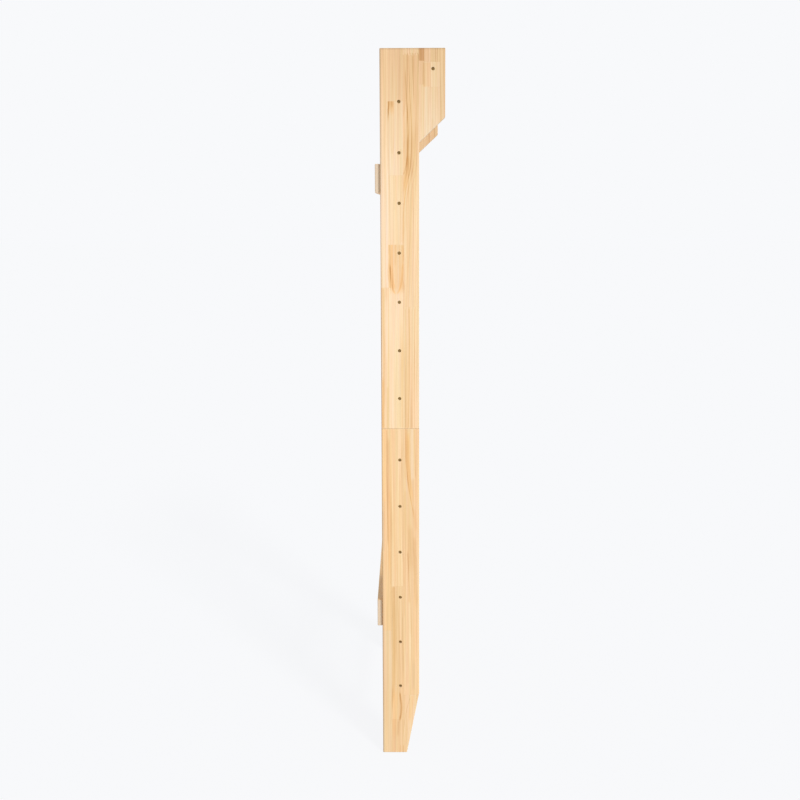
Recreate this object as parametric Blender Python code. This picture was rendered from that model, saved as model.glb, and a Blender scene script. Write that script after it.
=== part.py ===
"""Swedish wall bars: laminated pine uprights in two lengths, oval beech rungs and two wall boards.

The width runs along X, the climbing side faces -Y, the wall stands at +Y and Z is up. The origin is on
the floor, in the middle of the overall box. A depth below is a distance forward, towards -Y, from the
plane of the uprights' backs, and side is -1 for the left upright and +1 for the right one.
"""

import math

import bmesh
import bpy
from mathutils import Matrix, Vector

# Overall
WIDTH = 0.900
HEIGHT = 2.232
CLEARANCE = 0.0003

# Uprights, each a lower and an upper rail that meet end to end
RAIL_THICKNESS = 0.036
RAIL_DEPTH = 0.118
JOINT_Z = 1.082
FOOT_DEPTH = 0.078
FOOT_TAPER_Z = 0.206
OVERHANG_DEPTH = 0.196
OVERHANG_ROOT_Z = 1.958
OVERHANG_CORNER_Z = 2.031
EDGE_CHAMFER = 0.0015

# Rungs, seated in oval pockets in the rails' inner faces
RUNG_PITCH = 0.150
RUNG_DEPTH = 0.057
LOWER_RUNG_COUNT = 6
LOWEST_RUNG_Z = 0.231
UPPER_RUNG_COUNT = 7
FIRST_UPPER_RUNG_Z = 1.177
TOP_RUNG_DEPTH = 0.159
TOP_RUNG_Z = 2.172
RUNG_WIDTH = 0.030
RUNG_HEIGHT = 0.040
RUNG_SEGMENTS = 16
POCKET_DEPTH = 0.012

# Rung screws, one through each rail into each rung end, with the head down a counterbore
COUNTERBORE_RADIUS = 0.0050
COUNTERBORE_DEPTH = 0.0100
RUNG_SCREW_HEAD_RADIUS = 0.0047
RUNG_SCREW_HEAD_HEIGHT = 0.0042
RUNG_SCREW_RADIUS = 0.0032
RUNG_SCREW_LENGTH = 0.0600
RUNG_SCREW_TIP = 0.0050
RUNG_SCREW_SOCKET = 0.0020
RUNG_SCREW_SOCKET_DEPTH = 0.0026

# Wall boards, screwed to the rails' backs from behind
BOARD_THICKNESS = 0.016
BOARD_HEIGHT = 0.087
BOARD_INSET = 0.014
BOARD_BOTTOMS = {"lower": 0.431, "upper": 1.808}
BOARD_SCREW_INSET = 0.012
BOARD_SCREW_HEIGHTS = {"low": 0.021, "high": 0.066}
BOARD_SCREW_RADIUS = 0.0023
BOARD_SCREW_HEAD_RADIUS = 0.0045
BOARD_SCREW_HEAD_HEIGHT = 0.0028
BOARD_SCREW_LENGTH = 0.0450
BOARD_SCREW_TIP = 0.0040
BOARD_SCREW_SOCKET = 0.0015
BOARD_SCREW_SOCKET_DEPTH = 0.0016

# Holes left open in the wall boards, for the screws that go into the wall
WALL_HOLE_X = 0.300
WALL_HOLE_RADIUS = 0.0040
WALL_HOLE_SINK_RADIUS = 0.0080
WALL_HOLE_SINK_DEPTH = 0.0040

# Dowels inside the joint between a lower and an upper rail
DOWEL_RADIUS = 0.0060
DOWEL_LENGTH = 0.0600
DOWEL_CHAMFER = 0.0012
DOWEL_DEPTHS = {"back": 0.030, "front": 0.088}

# Facets of round shapes, and how far a cutter runs past the face that it cuts
ROUND_SEGMENTS = 12
OVERCUT = 0.002

# Places that follow from the sizes
BACK_Y = (OVERHANG_DEPTH - BOARD_THICKNESS) / 2
OUTER_X = WIDTH / 2
INNER_X = OUTER_X - RAIL_THICKNESS
RAIL_MIDDLE_X = OUTER_X - RAIL_THICKNESS / 2
JOINT_MIDDLE_Z = JOINT_Z + CLEARANCE / 2
BOARD_FRONT_Y = BACK_Y + CLEARANCE
BOARD_BACK_Y = BACK_Y + BOARD_THICKNESS
BOARD_END_X = OUTER_X - BOARD_INSET
BOARD_SCREW_X = BOARD_END_X - BOARD_SCREW_INSET
SIDES = {"left": -1, "right": 1}


def clear_scene():
    for item in list(bpy.data.objects):
        bpy.data.objects.remove(item, do_unlink=True)


def make_material(name, colour, roughness, metallic=0.0):
    material = bpy.data.materials.new(name)
    material.use_nodes = True
    shader = material.node_tree.nodes["Principled BSDF"]
    shader.inputs["Base Color"].default_value = (*colour, 1.0)
    shader.inputs["Roughness"].default_value = roughness
    shader.inputs["Metallic"].default_value = metallic
    return material


def make_mesh(name, bm, material=None, smooth=False):
    bmesh.ops.recalc_face_normals(bm, faces=bm.faces)
    mesh = bpy.data.meshes.new(name)
    bm.to_mesh(mesh)
    bm.free()
    if smooth:
        mesh.shade_smooth()
        mesh.set_sharp_from_angle(angle=math.radians(40))
    if material:
        mesh.materials.append(material)
    return mesh


def place(name, mesh, matrix=Matrix()):
    """Links a new object that shows a mesh, which other objects may share."""
    item = bpy.data.objects.new(name, mesh)
    item.matrix_world = matrix
    bpy.context.scene.collection.objects.link(item)
    return item


def make_cutter(name, bm):
    cutter = place(name, make_mesh(name, bm))
    cutter.hide_render = True
    cutter.display_type = "WIRE"
    return cutter


def cut(target, cutter):
    boolean = target.modifiers.new(cutter.name, "BOOLEAN")
    boolean.operation = "DIFFERENCE"
    boolean.solver = "EXACT"
    boolean.object = cutter


def along(origin, direction):
    """The matrix that starts a shape at origin, with its local +Z along direction."""
    turn = Vector(direction).to_track_quat("Z", "Y").to_matrix().to_4x4()
    return Matrix.Translation(origin) @ turn


def skin_rings(bm, rings, matrix=Matrix()):
    """Adds a closed solid skinned over rings of points, which run from its bottom to its top."""
    loops = [[bm.verts.new(matrix @ Vector(point)) for point in ring] for ring in rings]
    bm.faces.new(list(reversed(loops[0])))
    bm.faces.new(loops[-1])
    for below, above in zip(loops, loops[1:]):
        for i in range(len(below)):
            j = (i + 1) % len(below)
            bm.faces.new((below[i], below[j], above[j], above[i]))


def break_edges(bm):
    """Chamfers every edge of a sawn piece."""
    bmesh.ops.recalc_face_normals(bm, faces=bm.faces)
    bmesh.ops.bevel(bm, geom=bm.edges[:], offset=EDGE_CHAMFER, segments=1, profile=0.5, affect="EDGES")


def ring_angles(segments):
    return [2 * math.pi * i / segments for i in range(segments)]


def circle(radius, height, segments=ROUND_SEGMENTS):
    return [(radius * math.cos(a), radius * math.sin(a), height) for a in ring_angles(segments)]


def hexagon(apothem, height):
    """A round piece's number of points, spread around a hexagon, for a drive socket."""
    points = []
    for angle in ring_angles(ROUND_SEGMENTS):
        from_flat = (angle + math.pi / 6) % (math.pi / 3) - math.pi / 6
        radius = apothem / math.cos(from_flat)
        points.append((radius * math.cos(angle), radius * math.sin(angle), height))
    return points


def oval(grow, height):
    """A rung's section, taller than it is deep, grown by grow all round."""
    half_width = RUNG_WIDTH / 2 + grow
    half_height = RUNG_HEIGHT / 2 + grow
    angles = ring_angles(RUNG_SEGMENTS)
    return [(half_width * math.cos(a), half_height * math.sin(a), height) for a in angles]


def add_turned(bm, profile, matrix):
    """Adds a solid turned from (radius, height) pairs."""
    skin_rings(bm, [circle(radius, height) for radius, height in profile], matrix)


def rung_places():
    """Each rung's name, depth and height, from the floor up."""
    heights = [LOWEST_RUNG_Z + RUNG_PITCH * i for i in range(LOWER_RUNG_COUNT)]
    heights += [FIRST_UPPER_RUNG_Z + RUNG_PITCH * i for i in range(UPPER_RUNG_COUNT)]
    places = [(f"rung_{i:02d}", RUNG_DEPTH, z) for i, z in enumerate(heights, start=1)]
    return places + [("top_rung", TOP_RUNG_DEPTH, TOP_RUNG_Z)]


def board_screw_places():
    """Each board screw's name, side and height."""
    places = []
    for board, bottom in BOARD_BOTTOMS.items():
        for label, side in SIDES.items():
            for level, height in BOARD_SCREW_HEIGHTS.items():
                places.append((f"{board}_board_{label}_{level}_screw", side, bottom + height))
    return places


def lower_rail_outline():
    return [
        (0, 0),
        (FOOT_DEPTH, 0),
        (RAIL_DEPTH, FOOT_TAPER_Z),
        (RAIL_DEPTH, JOINT_Z),
        (0, JOINT_Z),
    ]


def upper_rail_outline():
    bottom = JOINT_Z + CLEARANCE
    return [
        (0, bottom),
        (RAIL_DEPTH, bottom),
        (RAIL_DEPTH, OVERHANG_ROOT_Z),
        (OVERHANG_DEPTH, OVERHANG_CORNER_Z),
        (OVERHANG_DEPTH, HEIGHT),
        (0, HEIGHT),
    ]


def make_rail(name, outline, side, material):
    """A rail sawn to an outline of (depth, z) corners."""
    bm = bmesh.new()
    half = RAIL_THICKNESS / 2
    skin_rings(bm, [[(x, BACK_Y - depth, z) for depth, z in outline] for x in (-half, half)])
    break_edges(bm)
    return place(name, make_mesh(name, bm, material), Matrix.Translation((side * RAIL_MIDDLE_X, 0, 0)))


def make_rung_bore_cutter(name, side):
    """The counterbored screw holes that run through a rail's thickness into the pockets."""
    bm = bmesh.new()
    profile = [
        (RUNG_SCREW_RADIUS + CLEARANCE, POCKET_DEPTH - RAIL_THICKNESS - OVERCUT),
        (RUNG_SCREW_RADIUS + CLEARANCE, -COUNTERBORE_DEPTH),
        (COUNTERBORE_RADIUS, -COUNTERBORE_DEPTH),
        (COUNTERBORE_RADIUS, OVERCUT),
    ]
    for _, depth, z in rung_places():
        add_turned(bm, profile, along((side * OUTER_X, BACK_Y - depth, z), (side, 0, 0)))
    return make_cutter(name, bm)


def make_rung_pocket_cutter(name, side):
    bm = bmesh.new()
    rings = [oval(CLEARANCE, -OVERCUT), oval(CLEARANCE, POCKET_DEPTH)]
    for _, depth, z in rung_places():
        skin_rings(bm, rings, along((side * INNER_X, BACK_Y - depth, z), (side, 0, 0)))
    return make_cutter(name, bm)


def make_fixing_cutter(name, side):
    """Holes for the joint's dowels and for the boards' screws."""
    bm = bmesh.new()
    reach = DOWEL_LENGTH / 2 + CLEARANCE
    dowel_hole = [(DOWEL_RADIUS + CLEARANCE, -reach), (DOWEL_RADIUS + CLEARANCE, reach)]
    for depth in DOWEL_DEPTHS.values():
        origin = (side * RAIL_MIDDLE_X, BACK_Y - depth, JOINT_MIDDLE_Z)
        add_turned(bm, dowel_hole, along(origin, (0, 0, 1)))
    screw_reach = BOARD_SCREW_LENGTH - BOARD_THICKNESS + CLEARANCE
    screw_hole = [(BOARD_SCREW_RADIUS + CLEARANCE, z) for z in (-OVERCUT, screw_reach)]
    for _, screw_side, z in board_screw_places():
        if screw_side == side:
            add_turned(bm, screw_hole, along((side * BOARD_SCREW_X, BACK_Y, z), (0, -1, 0)))
    return make_cutter(name, bm)


def make_upright(label, side, material):
    """One side's lower and upper rails, with all their holes."""
    rails = [
        make_rail(f"{label}_lower_rail", lower_rail_outline(), side, material),
        make_rail(f"{label}_upper_rail", upper_rail_outline(), side, material),
    ]
    cutters = [
        make_rung_pocket_cutter(f"{label}_rung_pocket_cutter", side),
        make_rung_bore_cutter(f"{label}_rung_bore_cutter", side),
        make_fixing_cutter(f"{label}_fixing_cutter", side),
    ]
    for rail in rails:
        for cutter in cutters:
            cut(rail, cutter)


def make_rungs(material):
    """All the rungs, which share one mesh: an oval bar along X with a pilot hole in each end."""
    half_length = INNER_X + POCKET_DEPTH - CLEARANCE
    screw_in_rail = RAIL_THICKNESS - POCKET_DEPTH - COUNTERBORE_DEPTH
    hole_floor = half_length - (RUNG_SCREW_LENGTH - screw_in_rail + CLEARANCE)
    hole_radius = RUNG_SCREW_RADIUS + CLEARANCE
    rings = [
        circle(hole_radius, -hole_floor, RUNG_SEGMENTS),
        circle(hole_radius, -half_length, RUNG_SEGMENTS),
        oval(0, -half_length),
        oval(0, half_length),
        circle(hole_radius, half_length, RUNG_SEGMENTS),
        circle(hole_radius, hole_floor, RUNG_SEGMENTS),
    ]
    bm = bmesh.new()
    skin_rings(bm, rings)
    mesh = make_mesh("rung", bm, material, smooth=True)
    for name, depth, z in rung_places():
        place(name, mesh, along((0, BACK_Y - depth, z), (1, 0, 0)))


def make_rung_screws(material):
    """Flat-headed furniture screws, whose heads' undersides are at their local origin."""
    rings = [
        circle(RUNG_SCREW_RADIUS / 3, -RUNG_SCREW_LENGTH),
        circle(RUNG_SCREW_RADIUS, RUNG_SCREW_TIP - RUNG_SCREW_LENGTH),
        circle(RUNG_SCREW_RADIUS, 0),
        circle(RUNG_SCREW_HEAD_RADIUS, 0),
        circle(RUNG_SCREW_HEAD_RADIUS, RUNG_SCREW_HEAD_HEIGHT),
        hexagon(RUNG_SCREW_SOCKET, RUNG_SCREW_HEAD_HEIGHT),
        hexagon(RUNG_SCREW_SOCKET, RUNG_SCREW_HEAD_HEIGHT - RUNG_SCREW_SOCKET_DEPTH),
    ]
    bm = bmesh.new()
    skin_rings(bm, rings)
    mesh = make_mesh("rung_screw", bm, material, smooth=True)
    seat_x = OUTER_X - COUNTERBORE_DEPTH + CLEARANCE
    for label, side in SIDES.items():
        for rung, depth, z in rung_places():
            matrix = along((side * seat_x, BACK_Y - depth, z), (side, 0, 0))
            place(f"{label}_{rung}_screw", mesh, matrix)


def make_board_screws(material):
    """Countersunk wood screws, whose heads' tops are at their local origin."""
    length = BOARD_SCREW_LENGTH - CLEARANCE
    rings = [
        circle(BOARD_SCREW_RADIUS / 3, -length),
        circle(BOARD_SCREW_RADIUS, BOARD_SCREW_TIP - length),
        circle(BOARD_SCREW_RADIUS, -BOARD_SCREW_HEAD_HEIGHT),
        circle(BOARD_SCREW_HEAD_RADIUS, 0),
        hexagon(BOARD_SCREW_SOCKET, 0),
        hexagon(BOARD_SCREW_SOCKET, -BOARD_SCREW_SOCKET_DEPTH),
    ]
    bm = bmesh.new()
    skin_rings(bm, rings)
    mesh = make_mesh("board_screw", bm, material, smooth=True)
    for name, side, z in board_screw_places():
        place(name, mesh, along((side * BOARD_SCREW_X, BOARD_BACK_Y - CLEARANCE, z), (0, 1, 0)))


def make_dowels(material):
    half = DOWEL_LENGTH / 2
    rings = [
        circle(DOWEL_RADIUS - DOWEL_CHAMFER, -half),
        circle(DOWEL_RADIUS, DOWEL_CHAMFER - half),
        circle(DOWEL_RADIUS, half - DOWEL_CHAMFER),
        circle(DOWEL_RADIUS - DOWEL_CHAMFER, half),
    ]
    bm = bmesh.new()
    skin_rings(bm, rings)
    mesh = make_mesh("dowel", bm, material, smooth=True)
    for label, side in SIDES.items():
        for position, depth in DOWEL_DEPTHS.items():
            origin = (side * RAIL_MIDDLE_X, BACK_Y - depth, JOINT_MIDDLE_Z)
            place(f"{label}_{position}_dowel", mesh, Matrix.Translation(origin))


def make_board_hole_cutter():
    """Screw holes sunk from the back at the rails, and wall holes sunk from the front between them."""
    bm = bmesh.new()
    through = -BOARD_THICKNESS - OVERCUT
    screw_hole = BOARD_SCREW_RADIUS + CLEARANCE
    screw_sink = BOARD_SCREW_HEAD_RADIUS + 2 * CLEARANCE
    screw_profile = [
        (screw_hole, through),
        (screw_hole, -BOARD_SCREW_HEAD_HEIGHT - 2 * CLEARANCE),
        (screw_sink, -CLEARANCE),
        (screw_sink, OVERCUT),
    ]
    for _, side, z in board_screw_places():
        add_turned(bm, screw_profile, along((side * BOARD_SCREW_X, BOARD_BACK_Y, z), (0, 1, 0)))
    wall_profile = [
        (WALL_HOLE_RADIUS, through),
        (WALL_HOLE_RADIUS, -WALL_HOLE_SINK_DEPTH),
        (WALL_HOLE_SINK_RADIUS, 0),
        (WALL_HOLE_SINK_RADIUS, OVERCUT),
    ]
    for bottom in BOARD_BOTTOMS.values():
        for side in SIDES.values():
            origin = (side * WALL_HOLE_X, BOARD_FRONT_Y, bottom + BOARD_HEIGHT / 2)
            add_turned(bm, wall_profile, along(origin, (0, -1, 0)))
    return make_cutter("board_hole_cutter", bm)


def make_boards(material):
    cutter = make_board_hole_cutter()
    corners = ((-BOARD_END_X, 0), (BOARD_END_X, 0), (BOARD_END_X, BOARD_HEIGHT), (-BOARD_END_X, BOARD_HEIGHT))
    bm = bmesh.new()
    skin_rings(bm, [[(x, y, z) for x, z in corners] for y in (BOARD_FRONT_Y, BOARD_BACK_Y)])
    break_edges(bm)
    mesh = make_mesh("wall_board", bm, material)
    for label, bottom in BOARD_BOTTOMS.items():
        cut(place(f"{label}_wall_board", mesh, Matrix.Translation((0, 0, bottom))), cutter)


def main():
    clear_scene()
    rail_pine = make_material("rail_pine", (0.90, 0.67, 0.43), 0.50)
    board_pine = make_material("board_pine", (0.86, 0.66, 0.45), 0.55)
    rung_beech = make_material("rung_beech", (0.78, 0.55, 0.34), 0.42)
    dowel_beech = make_material("dowel_beech", (0.74, 0.53, 0.34), 0.60)
    steel = make_material("zinc_steel", (0.60, 0.53, 0.42), 0.36, 1.0)
    for label, side in SIDES.items():
        make_upright(label, side, rail_pine)
    make_rungs(rung_beech)
    make_rung_screws(steel)
    make_boards(board_pine)
    make_board_screws(steel)
    make_dowels(dowel_beech)


main()
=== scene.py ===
"""The looks of the wall bars: rounded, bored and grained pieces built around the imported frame.

All sizes are in metres and all places in the frame's own axes: X across the ladder, -Y towards the climber,
Z up. Every piece keeps its vertices in those axes, with its object at the origin, so that a material reads
a point's place in the ladder straight from its object coordinates.
"""

import math
from collections import namedtuple

import bmesh
import bpy
from mathutils import Matrix, Vector


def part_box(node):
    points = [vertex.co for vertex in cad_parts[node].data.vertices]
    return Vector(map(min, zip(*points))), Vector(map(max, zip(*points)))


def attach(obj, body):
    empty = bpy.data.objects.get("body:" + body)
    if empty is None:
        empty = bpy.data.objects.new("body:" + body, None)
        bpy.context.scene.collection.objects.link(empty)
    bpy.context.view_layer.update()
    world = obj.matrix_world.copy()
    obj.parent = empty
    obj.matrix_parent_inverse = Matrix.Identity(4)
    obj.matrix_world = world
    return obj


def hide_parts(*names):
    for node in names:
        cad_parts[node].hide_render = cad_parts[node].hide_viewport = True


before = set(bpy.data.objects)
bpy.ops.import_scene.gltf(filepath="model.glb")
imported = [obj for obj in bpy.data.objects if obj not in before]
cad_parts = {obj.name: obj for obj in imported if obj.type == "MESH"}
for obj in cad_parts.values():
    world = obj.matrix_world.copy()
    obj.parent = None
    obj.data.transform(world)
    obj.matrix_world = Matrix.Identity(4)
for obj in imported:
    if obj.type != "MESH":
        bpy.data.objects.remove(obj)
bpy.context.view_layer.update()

# Rails: what their boxes don't say
FOOT_DEPTH = 0.078
FOOT_TAPER_Z = 0.206
OVERHANG_ROOT_Z = 1.958
OVERHANG_CORNER_Z = 2.031
RAIL_EDGE_RADIUS = 0.0025
JOINT_EDGE_RADIUS = 0.0004
CLEARANCE = 0.0003

# Rungs and the pockets that they sit in
POCKET_DEPTH = 0.012
RUNG_END_CHAMFER = 0.0008

# Rung screws and their counterbores
COUNTERBORE_RADIUS = 0.0050
COUNTERBORE_DEPTH = 0.0100
COUNTERBORE_CHAMFER = 0.0004
RUNG_SCREW = {
    "head_radius": 0.0047,
    "head_height": 0.0042,
    "shank_radius": 0.0032,
    "core_radius": 0.0023,
    "pitch": 0.0030,
    "plain_length": 0.014,
    "tip_length": 0.0050,
    "socket": 0.0020,
    "socket_depth": 0.0026,
}

# Board screws, which are countersunk
BOARD_SCREW = {
    "head_radius": 0.0045,
    "head_height": 0.0028,
    "shank_radius": 0.0023,
    "core_radius": 0.0016,
    "pitch": 0.0022,
    "plain_length": 0.012,
    "tip_length": 0.0040,
    "socket": 0.0015,
    "socket_depth": 0.0016,
}

# Threads: rings of points in a turn, how steep a ridge is, and the part of the radius left at the tip.
# Heads: the eased edge, how far a socket narrows, and the turn from one screw to the next.
THREAD_STEPS = 6
THREAD_STEEPNESS = 3.2
TIP_BLUNTNESS = 0.12
HEAD_EASE = 0.0004
SOCKET_DRAFT = 0.96
SCREW_TURN = 1.3

# Boards, and the holes in them for the wall's own screws
BOARD_EDGE_RADIUS = 0.0020
WALL_HOLE_X = 0.300
WALL_HOLE_RADIUS = 0.0040
WALL_HOLE_SINK_RADIUS = 0.0080
WALL_HOLE_SINK_DEPTH = 0.0040

# Dowels
DOWEL_CHAMFER = 0.0012
DOWEL_FLUTES = 20
DOWEL_FLUTE_DEPTH = 0.0003

# How far apart the seeds of like pieces are
RUNG_SEEDS = 0.137
SCREW_SEEDS = 0.1
DOWEL_SEEDS = 0.21
BOARD_SEEDS = 0.83
FIRST_BOARD_SEED = 3.1

# Facets of round shapes, and how far a cutter runs past the face it cuts
OVAL_SEGMENTS = 64
BORE_SEGMENTS = 48
HIDDEN_SEGMENTS = 24
EDGE_SEGMENTS = 4
OVERCUT = 0.002
SHARP_ANGLE = math.radians(35)

SIDES = {"left": -1, "right": 1}


# ---------------- frame

def box(node):
    low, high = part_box(node)
    return Vector(low), Vector(high)


def middle(node):
    low, high = box(node)
    return (low + high) / 2


def nodes_named(*words):
    """The CAD nodes whose names hold all the words, in order."""
    return [name for name in sorted(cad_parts) if all(word in name for word in words)]


# ---------------- mesh tools

def along(origin, direction):
    """The matrix that starts a shape at origin, with its local +Z along direction."""
    turn = Vector(direction).to_track_quat("Z", "Y").to_matrix().to_4x4()
    return Matrix.Translation(origin) @ turn


def ring_angles(segments):
    return [2 * math.pi * i / segments for i in range(segments)]


def circle(radius, height, segments):
    return [(radius * math.cos(a), radius * math.sin(a), height) for a in ring_angles(segments)]


def oval(half_width, half_height, height):
    angles = ring_angles(OVAL_SEGMENTS)
    return [(half_width * math.cos(a), half_height * math.sin(a), height) for a in angles]


def hexagon(apothem, height, segments):
    """A ring of points spread around a hexagon, for a drive socket."""
    points = []
    for angle in ring_angles(segments):
        from_flat = (angle + math.pi / 6) % (math.pi / 3) - math.pi / 6
        radius = apothem / math.cos(from_flat)
        points.append((radius * math.cos(angle), radius * math.sin(angle), height))
    return points


def skin_rings(bm, rings, matrix=Matrix()):
    """Adds a closed solid skinned over rings of points, which run from its bottom to its top."""
    loops = [[bm.verts.new(matrix @ Vector(point)) for point in ring] for ring in rings]
    bm.faces.new(list(reversed(loops[0])))
    bm.faces.new(loops[-1])
    for below, above in zip(loops, loops[1:]):
        for i in range(len(below)):
            j = (i + 1) % len(below)
            bm.faces.new((below[i], below[j], above[j], above[i]))


def round_edges(bm, edges, radius, segments=EDGE_SEGMENTS):
    bmesh.ops.bevel(bm, geom=edges, offset=radius, segments=segments, profile=0.5, affect="EDGES")


def add_object(name, bm):
    bmesh.ops.recalc_face_normals(bm, faces=bm.faces)
    mesh = bpy.data.meshes.new(name)
    bm.to_mesh(mesh)
    bm.free()
    item = bpy.data.objects.new(name, mesh)
    bpy.context.scene.collection.objects.link(item)
    return item


def apply_modifiers(item):
    bpy.context.view_layer.update()
    graph = bpy.context.evaluated_depsgraph_get()
    mesh = bpy.data.meshes.new_from_object(item.evaluated_get(graph))
    item.modifiers.clear()
    item.data = mesh


def carve(item, cutters):
    """Cuts the cutters out of item, one after another."""
    for cutter in cutters:
        boolean = item.modifiers.new(cutter.name, "BOOLEAN")
        boolean.operation = "DIFFERENCE"
        boolean.solver = "EXACT"
        boolean.object = cutter
    apply_modifiers(item)


def discard(items):
    for item in items:
        bpy.data.objects.remove(item, do_unlink=True)


def shade(item):
    """Smooths the rounded parts, keeps the flats flat and the cut edges crisp."""
    item.data.shade_smooth()
    item.data.set_sharp_from_angle(angle=SHARP_ANGLE)
    weighted = item.modifiers.new("weighted", "WEIGHTED_NORMAL")
    weighted.keep_sharp = True
    weighted.weight = 100
    apply_modifiers(item)


def finish_piece(item, node, material, seed=0.0, centre=(0.0, 0.0, 0.0)):
    """Gives a piece its material and the seed and centre that vary it, and puts it in the node's stead."""
    item.data.materials.clear()
    item.data.materials.append(material)
    values = item.data.attributes.new("piece_seed", "FLOAT", "POINT")
    values.data.foreach_set("value", [seed] * len(item.data.vertices))
    centres = item.data.attributes.new("piece_centre", "FLOAT_VECTOR", "POINT")
    centres.data.foreach_set("vector", list(centre) * len(item.data.vertices))
    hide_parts(node)
    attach(item, "root")


# ---------------- node tools

class Wire:
    """A value in a material's node tree; sums and products of wires add Math nodes."""

    def __init__(self, tree, socket):
        self.tree = tree
        self.socket = socket

    def math(self, operation, *others, clamp=False):
        return add_math(self.tree, operation, self, *others, clamp=clamp)

    def __add__(self, other):
        return self.math("ADD", other)

    __radd__ = __add__

    def __sub__(self, other):
        return self.math("SUBTRACT", other)

    def __rsub__(self, other):
        return add_math(self.tree, "SUBTRACT", other, self)

    def __mul__(self, other):
        return self.math("MULTIPLY", other)

    __rmul__ = __mul__

    def __truediv__(self, other):
        return self.math("DIVIDE", other)

    def __pow__(self, other):
        return self.math("POWER", other)

    def __abs__(self):
        return self.math("ABSOLUTE")

    def below(self, other):
        return self.math("LESS_THAN", other)

    def above(self, other):
        return self.math("GREATER_THAN", other)

    def near(self, other, distance):
        return self.math("COMPARE", other, distance)

    def fraction(self):
        return self.math("FRACT")

    def at_least(self, other):
        return self.math("MAXIMUM", other)

    def clamped(self):
        return self.math("ADD", 0.0, clamp=True)

    def step(self, low, high):
        """0 below low, 1 above high and smooth between; the other way round where low is the larger."""
        node = self.tree.nodes.new("ShaderNodeMapRange")
        node.interpolation_type = "SMOOTHSTEP"
        plug(self.tree, node.inputs["Value"], self)
        node.inputs["From Min"].default_value = low
        node.inputs["From Max"].default_value = high
        return Wire(self.tree, node.outputs["Result"])


def plug(tree, socket, value):
    if isinstance(value, Wire):
        tree.links.new(value.socket, socket)
    else:
        socket.default_value = value


def add_math(tree, operation, *values, clamp=False):
    node = tree.nodes.new("ShaderNodeMath")
    node.operation = operation
    node.use_clamp = clamp
    for socket, value in zip(node.inputs, values):
        plug(tree, socket, value)
    return Wire(tree, node.outputs[0])


def point(tree, x, y, z):
    node = tree.nodes.new("ShaderNodeCombineXYZ")
    for socket, value in zip(node.inputs, (x, y, z)):
        plug(tree, socket, value)
    return Wire(tree, node.outputs[0])


def parts(tree, vector):
    node = tree.nodes.new("ShaderNodeSeparateXYZ")
    plug(tree, node.inputs[0], vector)
    return [Wire(tree, output) for output in node.outputs]


def coordinates(tree, output="Object"):
    node = tree.nodes.new("ShaderNodeTexCoord")
    return parts(tree, Wire(tree, node.outputs[output]))


def piece_coordinates(tree):
    """Object coordinates from a piece's own centre, or from the frame's origin where it has none."""
    node = tree.nodes.new("ShaderNodeAttribute")
    node.attribute_name = "piece_centre"
    centre = parts(tree, Wire(tree, node.outputs["Vector"]))
    return [place - start for place, start in zip(coordinates(tree), centre)]


def piece_seed(tree):
    node = tree.nodes.new("ShaderNodeAttribute")
    node.attribute_name = "piece_seed"
    return Wire(tree, node.outputs["Fac"])


def noise(tree, place, detail=2.0, roughness=0.5):
    node = tree.nodes.new("ShaderNodeTexNoise")
    plug(tree, node.inputs["Vector"], place)
    node.inputs["Scale"].default_value = 1.0
    node.inputs["Detail"].default_value = detail
    node.inputs["Roughness"].default_value = roughness
    return Wire(tree, node.outputs["Fac"])


def grain_noise(tree, grain, scales, detail, roughness=0.5, shift=(0, 0, 0)):
    """Noise drawn out along the grain. grain, scales and shift are each (length, across, through)."""
    places = [value * scale for value, scale in zip(grain, scales)]
    places = [place + offset if offset else place for place, offset in zip(places, shift)]
    return noise(tree, point(tree, *places), detail, roughness)


def random_values(tree, seed):
    """Three values from 0 to 1 that follow from the seed."""
    node = tree.nodes.new("ShaderNodeTexWhiteNoise")
    node.noise_dimensions = "1D"
    plug(tree, node.inputs["W"], seed)
    return parts(tree, Wire(tree, node.outputs["Color"]))


def blend(tree, factor, first, second, kind="RGBA", mode="MIX"):
    """first where factor is 0 and second where it is 1, as colours or, with kind FLOAT, as values."""
    node = tree.nodes.new("ShaderNodeMix")
    node.data_type = kind
    if kind == "RGBA":
        node.blend_type = mode
        names = ("Factor_Float", "A_Color", "B_Color")
        result = "Result_Color"
    else:
        names = ("Factor_Float", "A_Float", "B_Float")
        result = "Result_Float"
    sockets = {socket.identifier: socket for socket in node.inputs}
    for name, value in zip(names, (factor, first, second)):
        plug(tree, sockets[name], value)
    outputs = {socket.identifier: socket for socket in node.outputs}
    return Wire(tree, outputs[result])


def multiply(tree, colour, other):
    return blend(tree, 1.0, colour, other, mode="MULTIPLY")


def ramp(tree, value, stops):
    """A colour read from (place, colour) stops."""
    node = tree.nodes.new("ShaderNodeValToRGB")
    elements = node.color_ramp.elements
    while len(elements) < len(stops):
        elements.new(1.0)
    for element, (place, colour) in zip(elements, stops):
        element.position = place
        element.color = (*colour, 1.0)
    plug(tree, node.inputs["Fac"], value)
    return Wire(tree, node.outputs["Color"])


def new_material(name):
    material = bpy.data.materials.new(name)
    material.use_nodes = True
    return material, material.node_tree, material.node_tree.nodes["Principled BSDF"]


def bump(tree, shader, height, distance, strength):
    node = tree.nodes.new("ShaderNodeBump")
    node.inputs["Distance"].default_value = distance
    node.inputs["Strength"].default_value = strength
    plug(tree, node.inputs["Height"], height)
    tree.links.new(node.outputs["Normal"], shader.inputs["Normal"])


# ---------------- pine

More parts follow.
